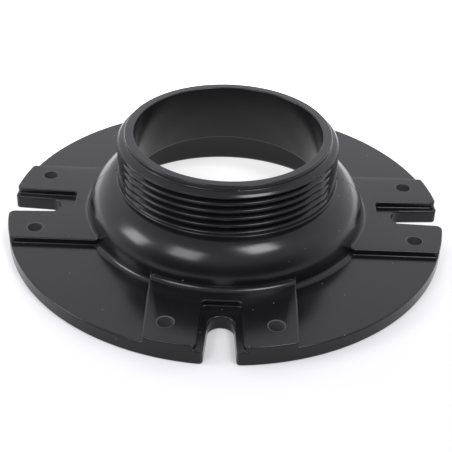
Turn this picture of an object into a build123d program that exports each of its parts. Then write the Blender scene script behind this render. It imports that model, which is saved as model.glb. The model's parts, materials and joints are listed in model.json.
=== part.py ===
from build123d import *
from math import atan2, degrees, hypot, tan, radians
import os

# Toilet floor flange with a male pipe thread, a black ABS moulding, in millimetres.
# It lies on its floor face with the threaded collar up. The origin is the centre of
# the bell's mouth on the floor face, +Z runs up the drain, and the mould parts on XZ.
# The nodes are the moulding's regions, split at its natural creases, face to face.

# Disc and pads
disc_radius = 89.7              # 7 1/16 inches across
disc_height = 5.85
pad_rise = 2.45                 # how far the four pads stand above the disc
pad_width = 55.4
pad_corner = 0.8                # upright corners where a pad meets the disc's rim
edge_round = 0.5                # the soft edge that the mould leaves all over
pad_top = disc_height + pad_rise

# Slots for the closet bolts, open at the rim and a little wider there
slot_end_radius = 4.9           # half-round inner end of a slot
slot_end_centre = 74.4          # its distance from the axis
slot_mouth_width = 12.0
recess_inner = 63.3             # square-ended recess in the pad around each slot
recess_inner_width = 14.8
recess_mouth_width = 16.9
recess_corner = 1.6
mouth_corner = 1.6              # upright corners at a slot's mouth
recess_mouth_corner = 2.4       # and at a recess's mouth above it

# Screw holes, two on each pad
hole_radius = 3.0
hole_out = 76.5                 # from the axis, along the pad
hole_aside = 20.0               # to each side of the slot
hole_round = 0.3

# Bell
wall = 4.0
foot_radius = 59.2              # where the bell's foot runs out into the disc
foot_round = 2.2
pad_foot_round = 2.8
bell_radius = foot_radius - foot_round
shoulder_round = 7.5            # the tight arc below the collar
mouth_round = 2.3
crease_round = 0.5

# Collar and its 3-inch tapered pipe thread, 8 threads to the inch
total_height = 44.45            # 1 3/4 inches
bore_radius = 37.8
pilot_radius = 41.5             # plain lead-in at the thread's root
collar_base = 24.2
shoulder_top = 42.5             # foot of the plain lead-in
shoulder_drop = 1.35            # height of the cone from there out to the crest
crest_radius = 44.8             # at the collar's base
thread_taper = 1 / 32           # loss of radius per unit of height
thread_pitch = 25.4 / 8
thread_grooves_front = 5
thread_grooves_back = 4
thread_arc = 110                # each groove stops short of the mould's parting line
groove_opening = 2.2
groove_root = 0.14
groove_flank = 30               # degrees from square to the axis
first_groove = 39.45            # height of the top groove in the middle of the front

groove_depth = (groove_opening - groove_root) / 2 / tan(radians(groove_flank))

# The bell's outside is a tight shoulder arc that runs into a wide side arc. The side
# arc ends upright at the top of the foot's rounding.
side_height = disc_height + foot_round
run, rise = bell_radius - crest_radius, collar_base - side_height
side_round = (run**2 + (rise - shoulder_round) ** 2 - shoulder_round**2) / (2 * (run - shoulder_round))
shoulder_centre = (crest_radius, collar_base - shoulder_round)
side_centre = (bell_radius - side_round, side_height)
meeting_angle = degrees(
    atan2(shoulder_centre[1] - side_centre[1], shoulder_centre[0] - side_centre[0])
)


def bell_side(inset):
    """The bell's two arcs from its side up to its shoulder, moved in by inset."""
    CenterArc(side_centre, side_round - inset, 0, meeting_angle)
    CenterArc(shoulder_centre, shoulder_round - inset, meeting_angle, 90 - meeting_angle)


def keyway(inner, inner_width, mouth_width):
    """A cutter's outline from a straight inner end out past the rim, widening as it goes."""
    outer = disc_radius + 10
    flare = (mouth_width - inner_width) / 2 / (disc_radius - inner)
    half_in, half_out = inner_width / 2, inner_width / 2 + flare * (outer - inner)
    Polygon((inner, -half_in), (outer, -half_out), (outer, half_out), (inner, half_in), align=None)


def screw_holes():
    """The two screw holes of the pad on the +X side."""
    with Locations((hole_out, -hole_aside), (hole_out, hole_aside)):
        Circle(hole_radius, mode=Mode.SUBTRACT)


# Closet-bolt slot on the +X side, cut through the disc
with BuildSketch() as slot:
    keyway(slot_end_centre, 2 * slot_end_radius, slot_mouth_width)
    with Locations((slot_end_centre, 0)):
        Circle(slot_end_radius)

# Recess on the +X side, round the slot, as deep as the pad is raised
with BuildSketch() as recess:
    keyway(recess_inner, recess_inner_width, recess_mouth_width)
    fillet(recess.vertices().group_by(Axis.X)[0], recess_corner)

# Foot of the bell behind the four pads, where it stands as high as they do
with BuildPart() as pad_feet:
    with BuildSketch(Plane.XZ):
        with BuildLine():
            Polyline(
                (foot_radius, pad_top),
                (foot_radius, disc_height),
                (bell_radius - wall / 2, disc_height),
                (bell_radius - wall / 2, pad_top + pad_foot_round),
                (foot_radius - pad_foot_round, pad_top + pad_foot_round),
            )
            CenterArc((foot_radius, pad_top + pad_foot_round), pad_foot_round, 180, 90)
        make_face()
    revolve(axis=Axis.Z)
    with BuildSketch() as cross:
        Rectangle(2 * disc_radius, pad_width)
        Rectangle(pad_width, 2 * disc_radius)
    extrude(amount=total_height, mode=Mode.INTERSECT)

# Bell: the domed wall between the collar and the disc, open below
with BuildPart() as bell:
    with BuildSketch(Plane.XZ) as bell_section:
        with BuildLine():
            Polyline(
                (crest_radius, collar_base),
                (bore_radius, collar_base),
                (bore_radius, collar_base - wall),
                (crest_radius, collar_base - wall),
            )
            bell_side(wall)
            Polyline((bell_radius - wall, side_height), (bell_radius - wall, mouth_round))
            CenterArc((bell_radius - wall + mouth_round, mouth_round), mouth_round, 180, 90)
            Polyline(
                (bell_radius - wall + mouth_round, 0),
                (foot_radius, 0),
                (foot_radius, disc_height),
            )
            CenterArc((foot_radius, disc_height + foot_round), foot_round, 180, 90)
            bell_side(0)
        make_face()
    revolve(axis=Axis.Z)
    add(pad_feet.part)
    crease = bell.edges().filter_by(GeomType.CIRCLE).filter_by_position(
        Axis.Z, collar_base - wall - 0.01, collar_base - wall + 0.01
    )
    fillet(crease.sort_by(SortBy.RADIUS)[0], crease_round)

# Mounting disc: the flat ring that lies on the floor
with BuildPart() as mounting_disc:
    with BuildSketch():
        Circle(disc_radius)
        Circle(foot_radius, mode=Mode.SUBTRACT)
        with PolarLocations(0, 4):
            add(slot.sketch, mode=Mode.SUBTRACT)
        rim_corners = [v for v in vertices() if hypot(v.X, v.Y) > disc_radius - 0.01 and abs(v.X * v.Y) > 1]
        fillet(rim_corners, mouth_corner)
        for quarter in range(4):
            hole = Vector(hole_out, hole_aside).rotate(Axis.Z, 90 * quarter)
            twin = Vector(hole_out, -hole_aside).rotate(Axis.Z, 90 * quarter)
            with Locations(hole, twin):
                Circle(hole_radius, mode=Mode.SUBTRACT)
    extrude(amount=disc_height)
    rim_edges = mounting_disc.edges().filter_by(
        lambda e: e.geom_type == GeomType.CIRCLE and abs(e.radius - disc_radius) < 0.01
    )
    fillet(rim_edges.group_by(Axis.Z)[0], edge_round)

# Bolt pad on the +X side: a raised plate around a slot
with BuildPart() as bolt_pad:
    with BuildSketch(Plane.XY.offset(disc_height)):
        Circle(disc_radius)
        with Locations((disc_radius / 2, 0)):
            Rectangle(disc_radius, pad_width, mode=Mode.INTERSECT)
        Circle(foot_radius, mode=Mode.SUBTRACT)
        add(recess.sketch, mode=Mode.SUBTRACT)
        rim_corners = [v for v in vertices() if hypot(v.X, v.Y) > disc_radius - 0.01]
        fillet([v for v in rim_corners if abs(v.Y) < pad_width / 4], recess_mouth_corner)
        fillet([v for v in rim_corners if abs(v.Y) > pad_width / 4], pad_corner)
        screw_holes()
    extrude(amount=pad_rise)
    top_edges = bolt_pad.faces().sort_by(Axis.Z)[-1].outer_wire().edges()
    at_bell = top_edges.sort_by_distance((0, 0, pad_top))[0]
    fillet(top_edges - [at_bell], edge_round)
    hole_edges = bolt_pad.edges().group_by(Axis.Z)[-1].filter_by(
        lambda e: e.geom_type == GeomType.CIRCLE and abs(e.radius - hole_radius) < 0.01
    )
    fillet(hole_edges, hole_round)

# One cutter for a thread groove: a blunt vee carried round part of a turn
with BuildPart() as groove:
    with BuildLine() as groove_path:
        Helix(
            pitch=thread_pitch,
            height=thread_pitch * thread_arc / 360,
            radius=crest_radius - (first_groove - collar_base) * thread_taper,
        )
    with BuildSketch(Plane(groove_path.line @ 0, x_dir=(1, 0, 0), z_dir=groove_path.line % 0)):
        with BuildLine():
            reach = 1.0
            mouth = groove_opening / 2 + reach * tan(radians(groove_flank))
            Polyline(
                (-groove_depth, -groove_root / 2),
                (reach, -mouth),
                (reach, mouth),
                (-groove_depth, groove_root / 2),
                close=True,
            )
        make_face()
    sweep(is_frenet=True)

# Threaded collar: the plain bore, the tapered crest and the interrupted thread
with BuildPart() as threaded_collar:
    crest_top = crest_radius - (shoulder_top - shoulder_drop - collar_base) * thread_taper
    with BuildSketch(Plane.XZ):
        with BuildLine():
            Polyline(
                (bore_radius, collar_base),
                (crest_radius, collar_base),
                (crest_top, shoulder_top - shoulder_drop),
                (pilot_radius, shoulder_top),
                (pilot_radius, total_height),
                (bore_radius, total_height),
                close=True,
            )
        make_face()
    revolve(axis=Axis.Z)
    fillet(threaded_collar.edges().group_by(Axis.Z)[-1], edge_round)
    for side, drop, grooves in ((270, 0, thread_grooves_front), (90, thread_pitch / 2, thread_grooves_back)):
        for turn in range(grooves):
            start_height = first_groove - drop - thread_pitch * (turn + thread_arc / 720)
            with Locations(Location((0, 0, start_height), (0, 0, side - thread_arc / 2))):
                add(groove.part, mode=Mode.SUBTRACT)

pad_names = {"bolt_pad_right": 0, "bolt_pad_back": 90, "bolt_pad_left": 180, "bolt_pad_front": 270}

os.makedirs("parts", exist_ok=True)

threaded_collar.part.label = "threaded_collar"
export_step(threaded_collar.part, "parts/threaded_collar.step")

bell.part.label = "bell"
export_step(bell.part, "parts/bell.step")

mounting_disc.part.label = "mounting_disc"
export_step(mounting_disc.part, "parts/mounting_disc.step")

for name, angle in pad_names.items():
    pad = bolt_pad.part.rotate(Axis.Z, angle)
    pad.label = name
    export_step(pad, f"parts/{name}.step")
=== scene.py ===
# %% [markdown]
# # A toilet floor flange, moulded in black plastic
# The part is a single moulding: a threaded collar stands on a domed bell, the bell runs
# out into a flat disc, and four raised pads on the disc hold the screws and the bolts.
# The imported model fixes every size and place. This script gives each of its regions the
# fine shape and the finish that moulded plastic has: soft edges, a thread that fades
# out, the thin line where the mould parted.

import json
from math import acos, asin, atan2, cos, degrees, pi, radians, sin, sqrt, tan

import bmesh
import bpy
from mathutils import Matrix, Vector, geometry


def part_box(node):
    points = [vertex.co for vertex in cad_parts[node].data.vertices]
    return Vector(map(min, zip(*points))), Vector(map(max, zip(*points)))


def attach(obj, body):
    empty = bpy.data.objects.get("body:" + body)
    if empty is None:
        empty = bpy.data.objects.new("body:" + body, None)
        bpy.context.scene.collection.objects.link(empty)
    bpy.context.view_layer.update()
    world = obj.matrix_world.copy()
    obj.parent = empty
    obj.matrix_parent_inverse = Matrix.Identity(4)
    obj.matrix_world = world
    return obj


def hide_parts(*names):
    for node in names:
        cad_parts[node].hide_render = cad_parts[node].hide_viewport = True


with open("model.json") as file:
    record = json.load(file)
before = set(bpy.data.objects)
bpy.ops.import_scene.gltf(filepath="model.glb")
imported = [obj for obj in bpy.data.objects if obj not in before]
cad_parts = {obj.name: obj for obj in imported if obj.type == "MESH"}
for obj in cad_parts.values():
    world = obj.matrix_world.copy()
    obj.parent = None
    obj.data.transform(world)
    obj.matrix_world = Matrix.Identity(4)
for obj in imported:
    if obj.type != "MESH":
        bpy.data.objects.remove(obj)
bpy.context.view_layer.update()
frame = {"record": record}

# %% [markdown]
# ## Sizes
# All lengths here are millimetres, and meshes turn them into metres when they are made.
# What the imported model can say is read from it: a node's box gives heights, and a mount
# gives the radius of a hole. The rest are the moulding's own small sizes.

# %% Sizes read from the frame
MM = 0.001


def node_box(node):
    """A node's lowest and highest corners in millimetres."""
    low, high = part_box(node)
    return Vector(low) / MM, Vector(high) / MM


mounts = {m["name"]: m for m in frame["record"]["mounts"]}
bore_radius = mounts["drain_bore"]["dims"]["r_mm"]
hole_radius = mounts["pad_screws_left_right"]["dims"]["hole_r_mm"]
hole_out = mounts["pad_screws_left_right"]["dims"]["spacing_x_mm"] / 2
hole_aside = mounts["pad_screws_left_right"]["dims"]["spacing_y_mm"] / 2

disc_top = node_box("mounting_disc")[1].z
pad_top = node_box("bolt_pad_front")[1].z
pad_half_width = node_box("bolt_pad_front")[1].x
collar_base = node_box("threaded_collar")[0].z
rim_top = node_box("threaded_collar")[1].z
crest_radius = node_box("threaded_collar")[1].x
foot_radius = node_box("bell")[1].x
print("disc top", round(disc_top, 3), "pad top", round(pad_top, 3), "rim", round(rim_top, 3))
print("crest radius", round(crest_radius, 3), "bell foot", round(foot_radius, 3))

# %% The moulding's own small sizes, in millimetres and degrees
wall = 4.0
edge_round = 0.5                # the soft edge on every outside corner
foot_round = 2.2                # the hollow where the bell runs out into disc and pads
shoulder_round = 7.5            # the tight arc under the collar
mouth_round = 2.3
crease_round = 0.5
pilot_radius = 41.5             # plain lead-in above the thread
shoulder_top = 42.5
shoulder_drop = 1.35
thread_taper = 1 / 32
pitch = 25.4 / 8
groove_opening = 2.2
groove_depth = 1.78
first_groove = 39.45            # height of the top groove in the middle of the front
grooves = 5
disc_radius = 89.7
slot_end_radius, slot_end_centre, slot_mouth_width = 4.9, 74.4, 12.0
recess_inner, recess_inner_width, recess_mouth_width = 63.3, 14.8, 16.9
columns = 361                   # points round a turned piece, the last on top of the first
hair = 0.002                    # how far a covering face stands off the one it covers
weld_gap = 1e-6                 # metres: points nearer than this are one point

# %% [markdown]
# ## The camera
# The camera stands in front of the flange and looks down on it at about 34 degrees, so
# that the thread, the dome, the bore and two of the slots are all in view. It's set
# first, because it decides how fine each edge has to be. Its lens is a short telephoto,
# and it leans over by two degrees, as a hand-set camera does.

# %% Camera
view_azimuth, view_elevation, view_roll = radians(0.19), radians(34.36), radians(1.99)
view_distance = 440.2
view_slide, view_lift = 0.29, -1.32
lens_mm = 82.8

back = Vector(
    (
        sin(view_azimuth) * cos(view_elevation),
        -cos(view_azimuth) * cos(view_elevation),
        sin(view_elevation),
    )
)
level_right = Vector((cos(view_azimuth), sin(view_azimuth), 0))
level_up = back.cross(level_right)
right = level_right * cos(view_roll) + level_up * sin(view_roll)
up = level_up * cos(view_roll) - level_right * sin(view_roll)
eye = back * view_distance + right * view_slide + up * view_lift

camera_data = bpy.data.cameras.new("camera")
camera_data.lens, camera_data.sensor_width = lens_mm, 36.0
camera_data.clip_start, camera_data.clip_end = 0.01, 20.0
camera = bpy.data.objects.new("camera", camera_data)
camera.matrix_world = Matrix.Translation(eye * MM) @ Matrix((right, up, back)).transposed().to_4x4()
bpy.context.scene.collection.objects.link(camera)
bpy.context.scene.camera = camera
print("camera at", [round(v, 1) for v in eye], "mm")

# %% [markdown]
# ## Sections and outlines
# A moulding has no sharp corners: the mould's own corners are a little round, and the
# plastic shrinks from them. So every section and every outline here is straight runs
# joined by tangent arcs, never by bare points. A point just before and just after each
# arc keeps the flat beside it flat, because a smooth-shaded face bends its light towards
# whatever corner it shares. Points are complex numbers, which makes a turn one product.

# %% Arcs and rounded corners
support = 0.07                  # how far from an arc the point stands that keeps a flat flat


def unit(degree):
    """The complex number of length one at an angle in degrees."""
    return complex(cos(radians(degree)), sin(radians(degree)))


def arc(centre, radius, start, end, steps):
    """Points along an arc from one angle in degrees to another."""
    return [centre + radius * unit(start + (end - start) * i / steps) for i in range(steps + 1)]


def swing(centre, first, last, steps):
    """Points round a centre from one point to another, the short way."""
    turn = (last - centre) / (first - centre)
    return [centre + (first - centre) * unit(degrees(atan2(turn.imag, turn.real)) * i / steps)
            for i in range(steps + 1)]


def rounded(before, corner, after, radius, steps=6, beside=support):
    """The arc that rounds a corner between two neighbours, with a point beside each end."""
    u, v = (before - corner) / abs(before - corner), (after - corner) / abs(after - corner)
    half = acos((u * v.conjugate()).real) / 2
    reach = radius / tan(half)
    centre = corner + (u + v) / abs(u + v) * radius / sin(half)
    bend = swing(centre, corner + u * reach, corner + v * reach, steps)
    return [corner + u * (reach + beside), *bend, corner + v * (reach + beside)]


print("a square corner is rounded with", len(rounded(1j, 0j, 1 + 0j, 0.5)), "points")

# %% [markdown]
# ## One lathe for every turned surface
# The collar and the bell are turned forms, so one Geometry Nodes tree makes both from a
# section, as a lathe does. A grid stands for the surface: its columns go round the axis
# and its rows follow the section, whose points arrive as a small mesh. Each point also
# says how deep the thread cuts it and how far it slides along the helix, at the front and
# at the back. The thread is a helix on the two halves of the mould and fades out before
# their parting line, and a rule of the angle says all of that, so the tree holds the rule
# and the section stays a plain drawing.

# %% Wiring a node tree
def node(tree, kind, settings=None, inputs=None):
    """A new node. An input is given a socket, which is linked, or a plain value."""
    made = tree.nodes.new(kind)
    for name, value in (settings or {}).items():
        setattr(made, name, value)
    for key, value in (inputs or {}).items():
        if isinstance(value, bpy.types.NodeSocket):
            tree.links.new(value, made.inputs[key])
        else:
            made.inputs[key].default_value = value
    return made


def calc(tree, operation, *values):
    """The result of one Math node."""
    return node(tree, "ShaderNodeMath", {"operation": operation}, dict(enumerate(values))).outputs[0]


def ramp(tree, value, low, high, bottom=0.0, top=1.0):
    """A smooth step of a value from bottom at low to top at high."""
    inputs = {"Value": value, "From Min": low, "From Max": high, "To Min": bottom, "To Max": top}
    settings = {"interpolation_type": "SMOOTHSTEP"}
    return node(tree, "ShaderNodeMapRange", settings, inputs).outputs["Result"]


# %% The turned moulding tree
fade_start, fade_end = 36, 68   # degrees from the middle of a mould half where a groove runs out
lap_end, hold_start, join_start = 35, 310, 338   # the helix climbs from lap_end to hold_start
back_half = 0.4                 # sine of the angle where the front's rules have given way


def turned_tree():
    """Carries a section round the axis, with a thread that slides and fades."""
    tree = bpy.data.node_groups.new("turned moulding", "GeometryNodeTree")
    tree.is_modifier = True
    sockets = {
        "Section": "NodeSocketGeometry",
        "Columns": "NodeSocketInt",
        "Pitch": "NodeSocketFloat",
        "Taper": "NodeSocketFloat",
        "Finish": "NodeSocketMaterial",
    }
    for name, kind in sockets.items():
        tree.interface.new_socket(name, in_out="INPUT", socket_type=kind)
    tree.interface.new_socket("Moulding", in_out="OUTPUT", socket_type="NodeSocketGeometry")
    given = tree.nodes.new("NodeGroupInput").outputs

    rows = node(tree, "GeometryNodeAttributeDomainSize", None, {0: given["Section"]}).outputs[0]
    grid = node(
        tree, "GeometryNodeMeshGrid", None,
        {"Size X": 1.0, "Size Y": 1.0, "Vertices X": given["Columns"], "Vertices Y": rows},
    )
    index = tree.nodes.new("GeometryNodeInputIndex").outputs[0]
    column = calc(tree, "FLOOR", calc(tree, "DIVIDE", calc(tree, "ADD", index, 0.5), rows))
    row = calc(tree, "SUBTRACT", index, calc(tree, "MULTIPLY", column, rows))

    def sampled(field, kind):
        """A value of the section at this point's row."""
        settings = {"data_type": kind, "domain": "POINT"}
        inputs = {"Geometry": given["Section"], "Value": field, "Index": row}
        return node(tree, "GeometryNodeSampleIndex", settings, inputs).outputs[0]

    def named(name):
        """A named value of the section at this point's row."""
        field = node(tree, "GeometryNodeInputNamedAttribute", {"data_type": "FLOAT"}, {"Name": name})
        return sampled(field.outputs["Attribute"], "FLOAT")

    drawn = sampled(tree.nodes.new("GeometryNodeInputPosition").outputs[0], "FLOAT_VECTOR")
    drawn = node(tree, "ShaderNodeSeparateXYZ", None, {0: drawn}).outputs
    last = calc(tree, "SUBTRACT", given["Columns"], 1.0)
    angle = calc(tree, "MULTIPLY", calc(tree, "DIVIDE", column, last), 2 * pi)

    backness = ramp(tree, calc(tree, "SINE", angle), -back_half, back_half)

    def blended(name):
        """The front's value giving way to the back's."""
        inputs = {"Factor": backness, "A": named(name + "_front"), "B": named(name + "_back")}
        return node(tree, "ShaderNodeMix", {"data_type": "FLOAT"}, inputs).outputs[0]

    quarter = calc(tree, "WRAP", angle, pi, 0.0)
    away = calc(tree, "ABSOLUTE", calc(tree, "SUBTRACT", quarter, pi / 2))
    depth = ramp(tree, away, radians(fade_start), radians(fade_end), 1.0, 0.0)
    turn = calc(tree, "WRAP", angle, radians(lap_end + 360), radians(lap_end))
    climb = calc(tree, "SUBTRACT", calc(tree, "MINIMUM", turn, radians(hold_start)), radians(270))
    climb = calc(tree, "DIVIDE", climb, 2 * pi)
    climbed = (hold_start - lap_end) / 360
    drop = ramp(tree, turn, radians(join_start), radians(lap_end + 360), 0.0, climbed)
    rise = calc(tree, "MULTIPLY", calc(tree, "SUBTRACT", climb, drop), given["Pitch"])
    rise = calc(tree, "MULTIPLY", rise, blended("slide"))

    cut = calc(tree, "MULTIPLY", blended("cut"), depth)
    leant = calc(tree, "MULTIPLY", rise, given["Taper"])
    radius = calc(tree, "SUBTRACT", calc(tree, "SUBTRACT", drawn["X"], cut), leant)
    place = node(
        tree, "ShaderNodeCombineXYZ", None,
        {
            "X": calc(tree, "MULTIPLY", radius, calc(tree, "COSINE", angle)),
            "Y": calc(tree, "MULTIPLY", radius, calc(tree, "SINE", angle)),
            "Z": calc(tree, "ADD", drawn["Z"], rise),
        },
    ).outputs[0]
    moved = node(
        tree, "GeometryNodeSetPosition", None, {"Geometry": grid.outputs["Mesh"], "Position": place}
    )
    joined = node(
        tree, "GeometryNodeMergeByDistance", None, {"Geometry": moved.outputs[0], "Distance": weld_gap}
    )
    smooth = node(tree, "GeometryNodeSetShadeSmooth", None, {"Geometry": joined.outputs[0]})
    real = node(tree, "GeometryNodeRealizeInstances", None, {"Geometry": smooth.outputs[0]})
    finished = node(
        tree, "GeometryNodeSetMaterial", None, {"Geometry": real.outputs[0], "Material": given["Finish"]}
    )
    node(tree, "NodeGroupOutput", None, {0: finished.outputs[0]})
    return tree


lathe = turned_tree()
print("the lathe has", len(lathe.nodes), "nodes")

# %% Turning a section into a piece
row_values = ("cut_front", "cut_back", "slide_front", "slide_back")


def row(point, *values):
    """One section point (radius and height as a complex number) with its four thread values."""
    return (point, *(values or (0.0, 0.0, 0.0, 0.0)))


def evaluated(piece):
    """The piece's mesh with its modifiers carried out."""
    found = piece.evaluated_get(bpy.context.evaluated_depsgraph_get())
    return bpy.data.meshes.new_from_object(found)


def grown(piece, tree, inputs):
    """The piece with its mesh replaced by what a Geometry Nodes tree makes of it."""
    modifier = piece.modifiers.new(tree.name, "NODES")
    modifier.node_group = tree
    for item in tree.interface.items_tree:
        if item.in_out == "INPUT" and item.name in inputs:
            modifier[item.identifier] = inputs[item.name]
    drawing, mesh = piece.data, evaluated(piece)
    piece.modifiers.remove(modifier)
    piece.data = mesh
    bpy.data.meshes.remove(drawing)
    return piece


def turned_piece(name, section, finish, crease=32):
    """A closed section of rows, carried round the axis by the lathe."""
    closed = section + section[:1]
    drawing = bpy.data.meshes.new(name)
    drawing.from_pydata([(p.real * MM, 0.0, p.imag * MM) for p, *_ in closed], [], [])
    for place, value_name in enumerate(row_values, start=1):
        layer = drawing.attributes.new(value_name, "FLOAT", "POINT")
        scale = MM if value_name.startswith("cut") else 1.0
        layer.data.foreach_set("value", [r[place] * scale for r in closed])
    piece = bpy.data.objects.new(name, drawing)
    bpy.context.scene.collection.objects.link(piece)
    inputs = {"Columns": columns, "Pitch": pitch * MM, "Taper": thread_taper, "Finish": finish}
    grown(piece, lathe, inputs)
    return finished_mesh(piece, crease)


def finished_mesh(piece, crease=32):
    """Faces turned outwards, smooth but for true edges."""
    shape = bmesh.new()
    shape.from_mesh(piece.data)
    bmesh.ops.recalc_face_normals(shape, faces=shape.faces)
    loose = [e for e in shape.edges if not e.is_manifold]
    print(piece.name, len(shape.faces), "faces,", len(loose), "open edges")
    shape.to_mesh(piece.data)
    shape.free()
    piece.data.shade_smooth()
    piece.data.set_sharp_from_angle(angle=radians(crease))
    return piece


# %% [markdown]
# ## Moulded black plastic
# The part is ABS straight from the mould: nearly black all through, with a satin skin. A
# polished mould gives a skin that reflects softly but evenly, so most of what shows is
# the room's light in it. Three things keep it from being a perfect mirror: a very fine
# ripple from the tool's polish, faint flow marks that spread out from the middle, and a
# few specks of dust and small scuffs. They are all patterns in the object's own
# coordinates, so they stay where they are from every side.

# %% The finish
satin_roughness = 0.17, 0.22
speck_roughness, hole_roughness = 0.2, 0.3      # added to the satin
# The second colour is painted light: the screw holes' walls are painted a lighter grey that stands in for
# light reaching into them.
deep_black, painted_light_hole_grey, speck_grey = (0.0045, 0.0046, 0.005), (0.05, 0.05, 0.052), (0.12, 0.12, 0.12)
swell_height = 6.0              # the slow swell, against the fine ripple's 1


def mixed_colour(tree, factor, low, high):
    """A colour between two, each a socket or a plain red, green and blue."""
    mix = tree.nodes.new("ShaderNodeMix")
    mix.data_type = "RGBA"
    tree.links.new(factor, mix.inputs["Factor"])
    for place, colour in ((6, low), (7, high)):
        if isinstance(colour, bpy.types.NodeSocket):
            tree.links.new(colour, mix.inputs[place])
        else:
            mix.inputs[place].default_value = (*colour, 1.0)
    return mix.outputs[2]


def black_abs():
    """Satin black ABS with a fine ripple, faint flow marks, a few specks, and screw-hole walls painted a
    lighter grey as painted light.
    """
    finish = bpy.data.materials.new("satin_black_abs")
    finish.use_nodes = True
    tree = finish.node_tree
    shader = tree.nodes["Principled BSDF"]
    shader.inputs["Specular IOR Level"].default_value = 0.31
    shader.inputs["IOR"].default_value = 1.5

    place = tree.nodes.new("ShaderNodeTexCoord").outputs["Object"]
    ripple = node(tree, "ShaderNodeTexNoise", None, {"Vector": place, "Scale": 1600.0, "Detail": 2.0})
    swell = node(tree, "ShaderNodeTexNoise", None, {"Vector": place, "Scale": 95.0, "Detail": 1.0})
    cloud = node(tree, "ShaderNodeTexNoise", None, {"Vector": place, "Scale": 60.0, "Detail": 3.0})
    specks = node(tree, "ShaderNodeTexVoronoi", None, {"Vector": place, "Scale": 150.0})

    height = calc(tree, "MULTIPLY", swell.outputs["Fac"], swell_height)
    height = calc(tree, "ADD", height, ripple.outputs["Fac"])
    skin = node(tree, "ShaderNodeBump", None, {"Height": height, "Strength": 0.35, "Distance": 2e-6})
    tree.links.new(skin.outputs["Normal"], shader.inputs["Normal"])

    rough = ramp(tree, cloud.outputs["Fac"], 0.3, 0.7, *satin_roughness)
    speck = ramp(tree, specks.outputs["Distance"], 0.025, 0.04, 1.0, 0.0)
    rough = calc(tree, "ADD", rough, calc(tree, "MULTIPLY", speck, speck_roughness))

    # The faces a core pin made, the screw holes' walls, get a rougher skin, which is real, and a lighter
    # grey, which is painted light standing in for light reaching into the holes.
    pin_rough_painted_light = node(tree, "ShaderNodeAttribute", {"attribute_name": "pin_rough_painted_light"}).outputs["Fac"]
    rough = calc(tree, "ADD", rough, calc(tree, "MULTIPLY", pin_rough_painted_light, hole_roughness))
    tree.links.new(rough, shader.inputs["Roughness"])
    hole_painted_light_colour = mixed_colour(tree, pin_rough_painted_light, deep_black, painted_light_hole_grey)
    tint = mixed_colour(tree, speck, hole_painted_light_colour, speck_grey)
    tree.links.new(tint, shader.inputs["Base Color"])
    return finish


abs_skin = black_abs()
print(abs_skin.name, "has", len(abs_skin.node_tree.nodes), "nodes")

# %% [markdown]
# ## The bell
# The bell is the domed wall that carries the collar over the floor drain. It's a turned
# form: a tight shoulder arc under the collar, a wide arc down the side, and a small
# hollow where it runs out into the disc. A wide arc in few steps would show flats in its
# shine, so each arc gets a step of a few degrees. The wall is a second pair of arcs with
# the same centres, four millimetres in, and the mouth's inner edge is widely rounded.

# %% Where the bell's two arcs meet
bell_radius = foot_radius - foot_round
side_height = disc_top + foot_round
run, climb = bell_radius - crest_radius, collar_base - side_height
side_round = (run**2 + (climb - shoulder_round) ** 2 - shoulder_round**2) / (2 * (run - shoulder_round))
shoulder_centre = complex(crest_radius, collar_base - shoulder_round)
side_centre = complex(bell_radius - side_round, side_height)
between = shoulder_centre - side_centre
meeting = degrees(atan2(between.imag, between.real))
print("side arc", round(side_round, 2), "mm, meets the shoulder at", round(meeting, 1), "degrees")


# %% Bell shell
def bell_section():
    """The bell's closed section, from the bore up over the shoulder and round the mouth."""
    outside = arc(shoulder_centre, shoulder_round, 90, meeting, 24)
    outside += arc(side_centre, side_round, meeting, 0, 22)[1:]
    outside += arc(complex(foot_radius - support, side_height), foot_round, 180, 270, 10)[1:]
    foot = [complex(foot_radius, disc_top), complex(foot_radius, 0)]
    mouth_centre = complex(bell_radius - wall + mouth_round, mouth_round)
    mouth = arc(mouth_centre, mouth_round, 270, 180, 8)
    inside = arc(side_centre, side_round - wall, 0, meeting, 16)
    inside += arc(shoulder_centre, shoulder_round - wall, meeting, 90, 12)[1:]
    roof = collar_base - wall
    crease, bore_foot = complex(bore_radius, roof), complex(bore_radius, collar_base)
    lip = rounded(complex(crest_radius, roof), crease, bore_foot, crease_round)
    return [row(p) for p in outside + foot + mouth + inside + lip + [bore_foot]]


bell_shell = turned_piece("bell_shell", bell_section(), abs_skin)

# %% [markdown]
# ## The threaded collar
# The collar carries a 3-inch tapered pipe thread. Each groove is a blunt vee, and a
# moulded thread has soft crests, so the vee's outer corners are rounded too. The thread
# is interrupted: it covers the two mould halves and leaves the parting line clear, so
# that the halves can open. The front half has one more groove than the back.

# %% Collar section
crest_round = 0.55
first_crest_round = 0.2         # the top groove starts too near the shoulder for more
crest_beside = 0.02             # the lands between grooves are too narrow for wide supports
root_round = 0.05
spare_low, spare_high = 24.85, 26.25    # where the front's last groove hides at the back
shoulder_hollow = 0.5
shoulder_break = complex(43.5, 41.8)    # where the shoulder steepens towards the crest
break_round = 0.3
shoulder_edge = 0.12
flare = 0.5                     # the hollow where the collar meets the bell
groove_root = 0.14


def crest(height):
    """The thread's outer radius at a height."""
    return crest_radius - (height - collar_base) * thread_taper


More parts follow.
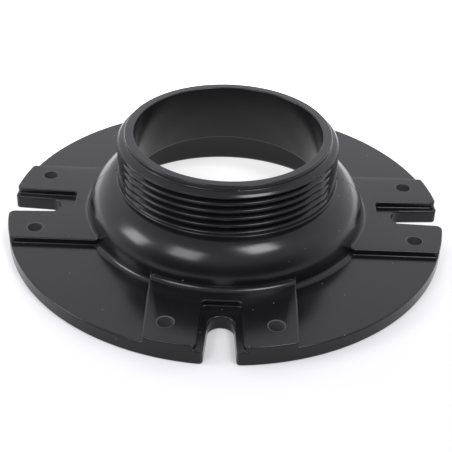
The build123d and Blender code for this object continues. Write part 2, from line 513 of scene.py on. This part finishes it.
def groove_rows(turn):
    """One groove of the thread, from its upper crest corner to its lower one."""
    middle = first_groove - pitch * turn
    high, low = complex(0, groove_opening / 2), complex(0, -groove_opening / 2)
    deep_high = complex(-groove_depth, groove_root / 2)
    deep_low = deep_high.conjugate()
    upper_round = crest_round if turn else first_crest_round
    drawn = rounded(high + 1j, high, deep_high, upper_round, 5, crest_beside)
    drawn += rounded(high, deep_high, deep_low, root_round, 2, crest_beside)
    drawn += rounded(deep_high, deep_low, low, root_round, 2, crest_beside)
    drawn += rounded(deep_low, low, low - 1j, crest_round, 5, crest_beside)
    rows = []
    for p in drawn:
        height = middle + p.imag
        cut_back, slide_back = -p.real, 1.0
        if turn == grooves - 1:
            share = (p.imag - drawn[-1].imag) / (drawn[0].imag - drawn[-1].imag)
            squeezed = spare_low + (spare_high - spare_low) * share
            cut_back, slide_back = 0.0, (height - squeezed) / (pitch * (270 - lap_end) / 360)
        rows.append(row(complex(crest(height), height), -p.real, cut_back, 1.0, slide_back))
    return rows


def collar_section():
    """The collar's closed section, from the rim down the thread and back up the bore."""
    rim_in, rim_out = complex(bore_radius, rim_top), complex(pilot_radius, rim_top)
    step_in, cone_foot = complex(pilot_radius, shoulder_top), shoulder_top - shoulder_drop
    step_out = complex(crest(cone_foot), cone_foot)
    base_out = complex(crest(collar_base + flare), collar_base + flare)
    top = rounded(complex(bore_radius, collar_base), rim_in, rim_out, edge_round)
    top += rounded(rim_in, rim_out, step_in, edge_round)
    top += rounded(rim_out, step_in, shoulder_break, shoulder_hollow, 6)
    top += rounded(step_in, shoulder_break, step_out, break_round, 3, crest_beside)
    top += rounded(shoulder_break, step_out, base_out, shoulder_edge, 4, crest_beside)
    thread = [r for turn in range(grooves) for r in groove_rows(turn)]
    base = arc(base_out + flare, flare, 180, 270, 5)
    bottom = [complex(crest_radius, collar_base - support), complex(bore_radius, collar_base)]
    return [row(p) for p in top] + thread + [row(p) for p in base + bottom]


collar_moulding = turned_piece("collar_moulding", collar_section(), abs_skin, crease=70)

# %% [markdown]
# ## Plates from an outline
# The disc and the four pads are plates: an outline with holes, a thickness and soft
# edges. A bevel modifier would round them too, but it makes poor corners where a rounded
# edge meets the rounded rim, so the rings are laid one by one instead. Each ring is the
# outline moved in by an offset at a height, and the flat inside the last ring is filled
# with triangles that leave the holes open.

# %% Rings and caps
def moved_in(loop, offset):
    """A counterclockwise loop moved towards its inside. The offset may differ by point."""
    made = []
    for i, point in enumerate(loop):
        before, after = point - loop[i - 1], loop[(i + 1) % len(loop)] - point
        u, v = before / abs(before), after / abs(after)
        bisector = (u + v) / abs(u + v)
        distance = offset[i] if isinstance(offset, list) else offset
        made.append(point + bisector * 1j * distance / (bisector * u.conjugate()).real)
    return made


def ring(shape, loop, height):
    """Vertices along a loop at a height."""
    return [shape.verts.new((p.real * MM, p.imag * MM, height * MM)) for p in loop]


def skin_rings(shape, rings, pin_rough_painted_light=None):
    """Faces between each ring and the next. Those that a core pin made are marked, for a rougher skin and a
    painted light grey.
    """
    for lower, upper in zip(rings, rings[1:]):
        for i in range(len(lower)):
            face = shape.faces.new((lower[i - 1], lower[i], upper[i], upper[i - 1]))
            if pin_rough_painted_light:
                face[pin_rough_painted_light] = 1.0


def cap(shape, rings, between=()):
    """Fills a flat face inside the first ring, round the others, through points between."""
    corners = [corner for loop in rings for corner in loop]
    height = corners[0].co.z
    places = [corner.co.xy for corner in corners] + [Vector((p.real, p.imag)) * MM for p in between]
    ends = [0]
    for loop in rings:
        ends.append(ends[-1] + len(loop))
    outlines = [list(range(first, last)) for first, last in zip(ends, ends[1:])]
    inside_with_holes, same_point = 2, 1e-9
    points, _, faces, origins, *_ = geometry.delaunay_2d_cdt(
        places, [], outlines, inside_with_holes, same_point
    )
    made = []
    for point, origin in zip(points, origins):
        known = [i for i in origin if i < len(corners)]
        made.append(corners[known[0]] if known else shape.verts.new((*point, height)))
    for face in faces:
        shape.faces.new([made[i] for i in face])


def edge_profile(radius, low, high, steps=6):
    """(offset, height) pairs up a wall whose top edge is rounded, with its supports."""
    drawn = rounded(complex(0, low), complex(0, high), complex(-radius * 4, high), radius, steps)
    return [(-p.real, p.imag) for p in drawn]


def plate_object(name, shape, finish):
    """The finished piece of a bmesh."""
    piece = bpy.data.objects.new(name, bpy.data.meshes.new(name))
    bpy.context.scene.collection.objects.link(piece)
    shape.to_mesh(piece.data)
    shape.free()
    piece.data.materials.append(finish)
    return finished_mesh(piece)


# %% [markdown]
# ## The mounting disc
# The disc lies on the floor and carries everything. Its four slots are open at the rim,
# so the closet bolts can slide in from outside. A slot has a half-round inner end, and
# its sides open out by four degrees, so it lets go of the mould. The bell stands in the
# disc's round opening, and the screw holes go through it and the pads together.

# %% Disc outline
def rim_corner(on_line, outward, radius, steps=8):
    """The arc that rounds the corner between a straight side and the disc's rim. The side
    runs outward through a point, with the plastic on its left."""
    outward = outward / abs(outward)
    start = on_line + 1j * outward * radius
    along, reach = (start * outward.conjugate()).real, disc_radius - radius
    centre = start + outward * (sqrt(reach**2 - abs(start) ** 2 + along**2) - along)
    return swing(centre, centre - 1j * outward * radius, centre * disc_radius / abs(centre), steps)


slot_flare = degrees(atan2(slot_mouth_width / 2 - slot_end_radius, disc_radius - slot_end_centre))
slot_mouth_round = 1.6


def slot_outline():
    """The slot on the +X side, in from the rim, round its inner end and out again."""
    inner_end = arc(complex(slot_end_centre, 0), slot_end_radius, 180, 90 + slot_flare, 8)
    side = unit(slot_flare)
    to_inner = inner_end[-1]
    out = [to_inner + side * support]
    mouth = rim_corner(to_inner, side, slot_mouth_round)
    out += [mouth[0] - side * support, *mouth]
    half = inner_end + out
    return [p.conjugate() for p in reversed(half)] + half[1:]


def disc_outline():
    """The whole rim with its four slots, counterclockwise."""
    notch = slot_outline()
    edge = degrees(atan2(notch[-1].imag, notch[-1].real))
    rim = arc(0j, disc_radius, edge, 90 - edge, 84)[1:-1]
    return [p * 1j**quarter for quarter in range(4) for p in notch + rim]


def hole_centres():
    """The eight screw holes' centres, two to a pad."""
    pair = [complex(hole_out, -hole_aside), complex(hole_out, hole_aside)]
    return [p * 1j**quarter for quarter in range(4) for p in pair]


# %% Disc plate
hole_ease = 0.03                # the disc's holes are this much wider than the pads'
hole_round = 0.3


def disc_plate_mesh():
    """The disc with its edges rounded all round, its opening and its holes."""
    shape = bmesh.new()
    pin_rough_painted_light = shape.faces.layers.float.new("pin_rough_painted_light")
    outline = disc_outline()
    top_edge = edge_profile(edge_round, disc_top / 2, disc_top)
    profile = [(offset, disc_top - height) for offset, height in reversed(top_edge)] + top_edge
    rings = [ring(shape, moved_in(outline, offset), height) for offset, height in profile]
    skin_rings(shape, rings)
    lower, upper = [rings[0]], [rings[-1]]
    opening = arc(0j, foot_radius, 0, 360, columns - 1)[:-1]
    walls = [opening] + [arc(c, hole_radius + hole_ease, 0, 360, 40)[:-1] for c in hole_centres()]
    for loop in walls:
        pair = [ring(shape, loop, 0.0), ring(shape, loop, disc_top)]
        skin_rings(shape, pair, None if loop is opening else pin_rough_painted_light)
        lower.append(pair[0])
        upper.append(pair[1])
    cap(shape, lower)
    cap(shape, upper)
    return shape


disc_plate = plate_object("disc_plate", disc_plate_mesh(), abs_skin)

# %% [markdown]
# ## The four bolt pads
# Each pad is a raised plate around a slot, with a recess that takes the bolt's washer and
# two screw holes. Its edges are soft on top and run out into the disc below through a
# small hollow. Towards the bell its top sweeps up in the same hollow as the bell's own
# foot, so the pad's mesh goes on a little way into the bell's wall. One function draws
# the pad on the +X side, and a quarter turn makes the next.

# %% Pad outline
pad_corner = 0.8
recess_corner = 1.6
recess_mouth_corner = 2.4
pad_flare = 0.45                # the hollow at the foot of a pad's walls
pad_root = bell_radius - 1.6    # how far the pad's mesh goes into the bell's wall
sweep_radii = [foot_radius - support - foot_round * sin(radians(a)) for a in range(0, 85, 9)]


def pad_outline():
    """The pad on the +X side, counterclockwise from the middle of its root."""
    recess_flare = degrees(
        atan2((recess_mouth_width - recess_inner_width) / 2, disc_radius - recess_inner)
    )
    inner = complex(recess_inner, recess_inner_width / 2)
    side = unit(recess_flare)
    end = rounded(complex(recess_inner, 0), inner, inner + side * 9, recess_corner)
    mouth = rim_corner(inner, side, recess_mouth_corner)
    flank = complex(foot_radius, pad_half_width)
    rim = rim_corner(flank.conjugate(), 1 + 0j, pad_corner, 6)
    rim = [p.conjugate() for p in reversed(rim)]
    middle = [degrees(atan2(p.imag, p.real)) for p in (mouth[-1], rim[0])]
    outer = arc(0j, disc_radius, middle[0], middle[1], 14)[1:-1]
    along = [complex(sqrt(r * r - pad_half_width**2), pad_half_width) for r in sweep_radii + [pad_root]]
    half = end + [mouth[0] - side * support] + mouth + outer + rim + [rim[-1] + support * -1] + along
    back = arc(0j, pad_root, degrees(asin(pad_half_width / pad_root)), 0, 20)[1:]
    return mirrored_pad(half + back)


def mirrored_pad(half):
    """The upper half from the recess round to the root, then its mirror image back."""
    return half + [p.conjugate() for p in reversed(half[:-1])]


def foot_rise(distance):
    """How far the bell's foot lifts the pad's top at a distance from the axis."""
    into = min(max(foot_radius - support - distance, 0.0), foot_round)
    return foot_round - sqrt(foot_round**2 - into**2)


# %% Pad plates
def pad_plate_mesh(turn):
    """A pad, turned round the axis by a complex number."""
    shape = bmesh.new()
    pin_rough_painted_light = shape.faces.layers.float.new("pin_rough_painted_light")
    outline = pad_outline()
    clear_of_rim = [min(max((disc_radius - abs(p)) / pad_corner, 0.0), 1.0) for p in outline]
    rings = []
    hollow = arc(complex(-pad_flare, disc_top + pad_flare), pad_flare, 270, 360, 4)
    bottom = disc_top - edge_round
    rings.append(ring(shape, [p * turn for p in moved_in(outline, 0.0)], bottom))
    for point in hollow:
        offsets = [point.real * share for share in clear_of_rim]
        rings.append(ring(shape, [p * turn for p in moved_in(outline, offsets)], point.imag + hair))
    for offset, height in edge_profile(edge_round, disc_top + pad_flare + support, pad_top):
        rings.append(ring(shape, [p * turn for p in moved_in(outline, offset)], height))
    skin_rings(shape, rings)

    lower, upper = [rings[0]], [rings[-1]]
    hole_profile = edge_profile(hole_round, disc_top, pad_top, 4)
    for aside in (-hole_aside, hole_aside):
        centre = complex(hole_out, aside)
        walls = [(0.0, bottom)] + hole_profile
        loops = [arc(centre, hole_radius + offset, 0, 360, 40)[:-1] for offset, _ in walls]
        hole = [ring(shape, [p * turn for p in loop], height) for loop, (_, height) in zip(loops, walls)]
        skin_rings(shape, hole, pin_rough_painted_light)
        lower.append(hole[0])
        upper.append(hole[-1])
    cap(shape, lower)
    half_turn = degrees(asin((pad_half_width - edge_round - support) / foot_radius))
    swept = [p for distance in sweep_radii for p in arc(0j, distance, -half_turn, half_turn, 60)[1:-1]]
    cap(shape, upper, [p * turn for p in swept])
    for corner in shape.verts:
        if corner.co.z > (disc_top + 2 * pad_flare + support) * MM:
            corner.co.z += foot_rise(corner.co.xy.length / MM) * MM
    return shape


pad_plates = {
    side: plate_object(f"pad_plate_{side}", pad_plate_mesh(1j**quarter), abs_skin)
    for quarter, side in enumerate(("right", "back", "left", "front"))
}

# %% [markdown]
# ## The parting line
# The two halves of the mould meet in the plane through the left and right slots, and they
# leave a hair of a ridge there: down the lead-in and the gap in the thread, over the
# bell and out along the pads. It follows the section, so a Geometry Nodes tree lays a
# thin bead along a path that reuses the bell's own arcs, and makes the other side's bead
# from it by half a turn. Most of the bead is sunk in the plastic, and a sliver shows.

# %% Parting line tree
def bead_tree():
    """A thin bead along a drawn path, and its twin half a turn round the axis."""
    tree = bpy.data.node_groups.new("parting bead", "GeometryNodeTree")
    tree.is_modifier = True
    sockets = {
        "Path": "NodeSocketGeometry",
        "Bead radius": "NodeSocketFloat",
        "Finish": "NodeSocketMaterial",
    }
    for name, kind in sockets.items():
        tree.interface.new_socket(name, in_out="INPUT", socket_type=kind)
    tree.interface.new_socket("Beads", in_out="OUTPUT", socket_type="NodeSocketGeometry")
    given = tree.nodes.new("NodeGroupInput").outputs
    curve = node(tree, "GeometryNodeMeshToCurve", None, {0: given["Path"]}).outputs[0]
    outline = node(
        tree, "GeometryNodeCurvePrimitiveCircle", None, {"Resolution": 6, "Radius": given["Bead radius"]}
    ).outputs["Curve"]
    bead = node(
        tree, "GeometryNodeCurveToMesh", None, {"Curve": curve, "Profile Curve": outline, "Fill Caps": True}
    ).outputs[0]
    twin = node(tree, "GeometryNodeTransform", None, {"Geometry": bead, "Rotation": (0, 0, pi)}).outputs[0]
    both = tree.nodes.new("GeometryNodeJoinGeometry")
    tree.links.new(bead, both.inputs[0])
    tree.links.new(twin, both.inputs[0])
    real = node(tree, "GeometryNodeRealizeInstances", None, {0: both.outputs[0]})
    finished = node(
        tree, "GeometryNodeSetMaterial", None, {"Geometry": real.outputs[0], "Material": given["Finish"]}
    )
    node(tree, "NodeGroupOutput", None, {0: finished.outputs[0]})
    return tree


# %% Parting beads
bead_radius = 0.11
bead_sunk = 0.04                # how far the bead's middle lies below the surface


def parting_path():
    """Along the surface in the parting plane, from the lead-in to the left pad's recess."""
    lead_in = [complex(pilot_radius, h) for h in (rim_top - 2 * edge_round, shoulder_top + flare)]
    thread_ends = shoulder_top - shoulder_drop - flare, collar_base + 2 * flare
    thread = [complex(crest(h), h) for h in thread_ends]
    dome = arc(shoulder_centre, shoulder_round, 84, meeting, 10)
    dome += arc(side_centre, side_round, meeting, 15, 14)[1:]
    foot = arc(complex(foot_radius - support, pad_top + foot_round), foot_round, 195, 270, 8)
    pad = [complex(recess_inner - 1, pad_top)]
    return [lead_in, thread + dome + foot + pad]


def parting_beads():
    """Both parting lines as one piece."""
    drawing = bpy.data.meshes.new("parting_beads")
    points, edges = [], []
    for run_points in parting_path():
        first = len(points)
        points += [(-p.real * MM, 0.0, (p.imag - bead_sunk) * MM) for p in run_points]
        edges += [(first + i, first + i + 1) for i in range(len(run_points) - 1)]
    drawing.from_pydata(points, edges, [])
    piece = bpy.data.objects.new("parting_beads", drawing)
    bpy.context.scene.collection.objects.link(piece)
    inputs = {"Bead radius": bead_radius * MM, "Finish": abs_skin}
    return grown(piece, bead_tree(), inputs)


parting_ridge = finished_mesh(parting_beads(), crease=80)

# %% [markdown]
# ## Floor, room and lights
# Black satin plastic shows its form only by what it reflects, so the light is drawn for
# its reflections: a bright, wide room behind and beside the part, a darker front, and
# three soft boxes that put the highlights on the bell's shoulder.

# %% Floor
def pale_floor():
    """A wide, pale, matt floor that glows: painted light, dim in front and bright towards the back."""
    half = 6.0
    mesh = bpy.data.meshes.new("floor")
    corners = [(-half, -half, 0), (half, -half, 0), (half, half, 0), (-half, half, 0)]
    mesh.from_pydata(corners, [], [(0, 1, 2, 3)])
    floor = bpy.data.objects.new("floor", mesh)
    bpy.context.scene.collection.objects.link(floor)
    paint = bpy.data.materials.new("pale_floor")
    paint.use_nodes = True
    tree = paint.node_tree
    shader = tree.nodes["Principled BSDF"]
    shader.inputs["Base Color"].default_value = (0.5, 0.5, 0.5, 1)
    shader.inputs["Roughness"].default_value = 0.9
    shader.inputs["Emission Color"].default_value = (1, 1, 1, 1)
    place = tree.nodes.new("ShaderNodeTexCoord").outputs["Object"]
    back = node(tree, "ShaderNodeSeparateXYZ", None, {0: place}).outputs["Y"]
    # Painted light: the floor glows, dim near the front and strong towards the back, so its reflections in
    # the part are darker in front.
    tree.links.new(ramp(tree, back, -0.1, 0.25, 0.12, 1.6), shader.inputs["Emission Strength"])
    mesh.materials.append(paint)


pale_floor()


# %% Room
wall_light, ceiling_light, front_light = 1.45, 0.75, 0.12


def bright_room():
    """A white room that is darker low down in front, where the camera stands."""
    world = bpy.data.worlds.new("room")
    bpy.context.scene.world = world
    world.use_nodes = True
    tree = world.node_tree
    sky = tree.nodes["Background"]
    sky.inputs["Color"].default_value = (0.985, 0.98, 1.03, 1)
    heading = tree.nodes.new("ShaderNodeTexCoord").outputs["Generated"]
    way = node(tree, "ShaderNodeSeparateXYZ", None, {0: heading})
    front = ramp(tree, way.outputs["Y"], -0.8, 0.1, 1.0, 0.0)
    low = ramp(tree, way.outputs["Z"], 0.2, 0.95, 1.0, 0.0)
    dim = calc(tree, "MULTIPLY", calc(tree, "MULTIPLY", front, low), wall_light - front_light)
    walls = ramp(tree, way.outputs["Z"], 0.55, 1.0, wall_light, ceiling_light)
    tree.links.new(calc(tree, "SUBTRACT", walls, dim), sky.inputs["Strength"])


bright_room()


# %% Soft boxes
cool_white = 0.97, 0.96, 1.0


def soft_box(name, azimuth, elevation, size, radiance, distance=900.0):
    """A square lamp that faces the part. Azimuth is from +Y towards +X, in degrees."""
    ground = unit(90 - azimuth) * cos(radians(elevation))
    place = Vector((ground.real, ground.imag, sin(radians(elevation)))) * distance * MM
    lamp = bpy.data.lights.new(name, "AREA")
    lamp.shape = "RECTANGLE"
    lamp.size = lamp.size_y = size * MM
    lamp.energy = radiance * pi * (size * MM) ** 2
    lamp.color = cool_white
    box = bpy.data.objects.new(name, lamp)
    box.matrix_world = Matrix.Translation(place) @ place.to_track_quat("Z", "Y").to_matrix().to_4x4()
    bpy.context.scene.collection.objects.link(box)


soft_box("lamp_left", -100, 28, 290, 11)
soft_box("lamp_front_left", -145, 42, 320, 8)
soft_box("lamp_front_right", 137, 60, 280, 15)


def bore_spot():
    """A narrow lamp straight above, which lights the floor inside the bore and nothing else."""
    height = 1500.0
    lamp = bpy.data.lights.new("lamp_bore", "SPOT")
    lamp.spot_size = 2 * atan2(bore_radius - 4, height)
    lamp.spot_blend = 0.3
    lamp.shadow_soft_size = 2 * MM
    lamp.energy = 60
    spot = bpy.data.objects.new("lamp_bore", lamp)
    spot.location = (0, 0, height * MM)
    bpy.context.scene.collection.objects.link(spot)


bore_spot()
bpy.context.scene.view_settings.view_transform = "Standard"

# %% [markdown]
# ## Handing over
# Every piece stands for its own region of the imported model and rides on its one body.

# %% Pieces and their nodes
pieces = {"threaded_collar": collar_moulding, "bell": bell_shell, "mounting_disc": disc_plate}
pieces |= {f"bolt_pad_{side}": plate for side, plate in pad_plates.items()}
for node_name, piece in pieces.items():
    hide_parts(node_name)
for piece in [*pieces.values(), parting_ridge]:
    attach(piece, "root")

bpy.context.view_layer.update()
